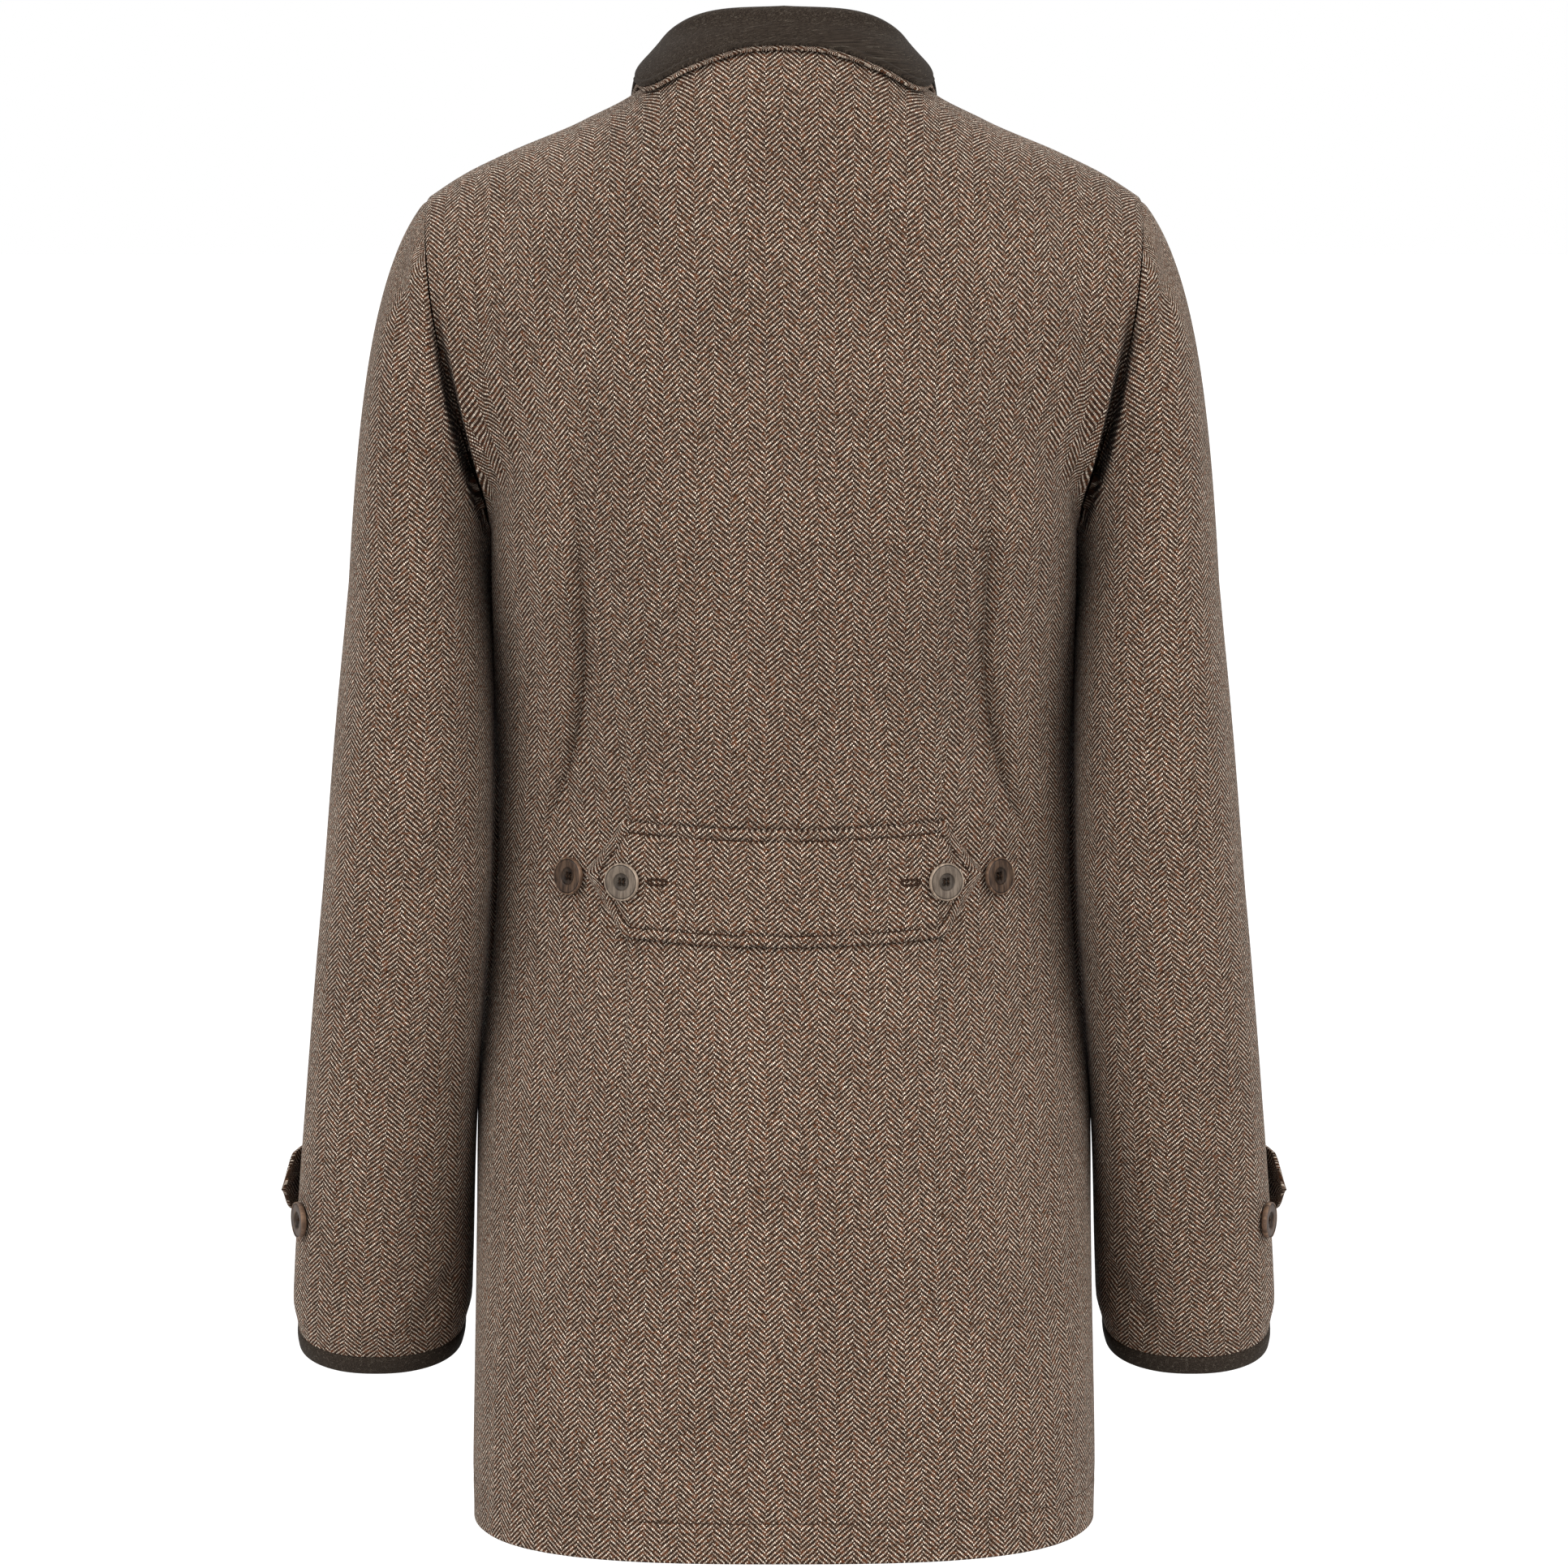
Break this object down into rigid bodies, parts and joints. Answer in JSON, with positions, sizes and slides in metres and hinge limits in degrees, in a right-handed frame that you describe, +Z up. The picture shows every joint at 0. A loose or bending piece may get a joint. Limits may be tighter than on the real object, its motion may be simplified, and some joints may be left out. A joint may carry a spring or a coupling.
{
  "type": "tweed jacket",
  "caption": "Hip-length herringbone tweed jacket with a felt collar, buttoned half belt, buttoned cuff tabs and felt-bound cuffs, filled out as if worn and empty.",
  "frame": {"origin": "midway between the two points where the shoulder seams meet the neck, where a hanger or stand holds the jacket", "axes": "+Z up, +Y towards the wearer's front, +X towards the wearer's right"},
  "size_m": [0.5538, 0.278, 0.8063],
  "materials": {
    "tweed": "woven herringbone wool tweed, cream and dark brown",
    "felt": "dark brown wool felt with a few pale hairs",
    "horn": "polished grey-brown horn"
  },
  "bodies": {
    "root": {"back": "tweed", "front_left": "tweed", "front_right": "tweed", "sleeve_left": "tweed", "sleeve_right": "tweed", "under_collar": "tweed", "half_belt": "tweed", "cuff_tab_left": "tweed", "cuff_tab_right": "tweed", "collar": "felt", "cuff_binding_left": "felt", "cuff_binding_right": "felt", "belt_button_inner_left": "horn", "belt_button_inner_right": "horn", "belt_button_outer_left": "horn", "belt_button_outer_right": "horn", "sleeve_button_left": "horn", "sleeve_button_right": "horn", "tab_button_left": "horn", "tab_button_right": "horn", "front_button_1": "horn", "front_button_2": "horn", "front_button_3": "horn", "front_button_4": "horn", "front_button_5": "horn"}
  },
  "joints": []
}
